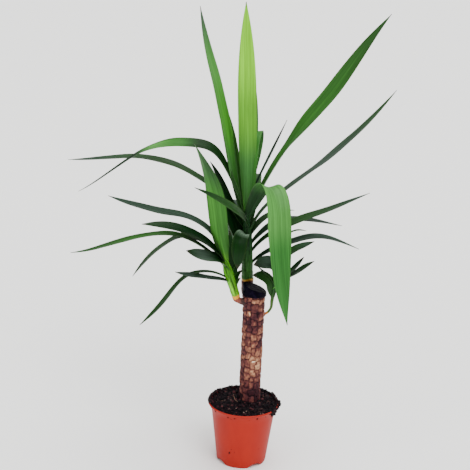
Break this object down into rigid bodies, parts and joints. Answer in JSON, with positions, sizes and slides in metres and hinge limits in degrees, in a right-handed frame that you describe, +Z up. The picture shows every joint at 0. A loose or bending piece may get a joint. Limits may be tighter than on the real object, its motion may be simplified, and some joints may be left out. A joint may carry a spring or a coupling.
{
  "type": "potted yucca",
  "caption": "Potted yucca: a rooted length of bark-covered cane with a wax-sealed top and shoots of long lance-shaped leaves, in soil in a round tapered plastic nursery pot.",
  "frame": {"origin": "middle of the pot's flat underside", "axes": "+Z up along the pot's axis, the side seen in the picture towards -Y, +X to its right"},
  "size_m": [0.5425, 0.3054, 0.7605],
  "materials": {
    "pot": "injection-moulded terracotta-coloured polypropylene with a soft sheen",
    "soil": "moist crumbly potting compost with bark pieces and fibres",
    "bark": "dry cracked brown bark with rows of leaf scars",
    "wax": "dipped dark sealing wax, semi-gloss",
    "leaves": "leathery green blades with a waxy sheen, fine lengthwise veins and paler margins"
  },
  "bodies": {
    "root": {"pot": "pot", "soil": "soil", "cane": "bark", "wax_cap": "wax", "shoot_top": "leaves", "shoot_left": "leaves", "shoot_right": "leaves"}
  },
  "joints": []
}
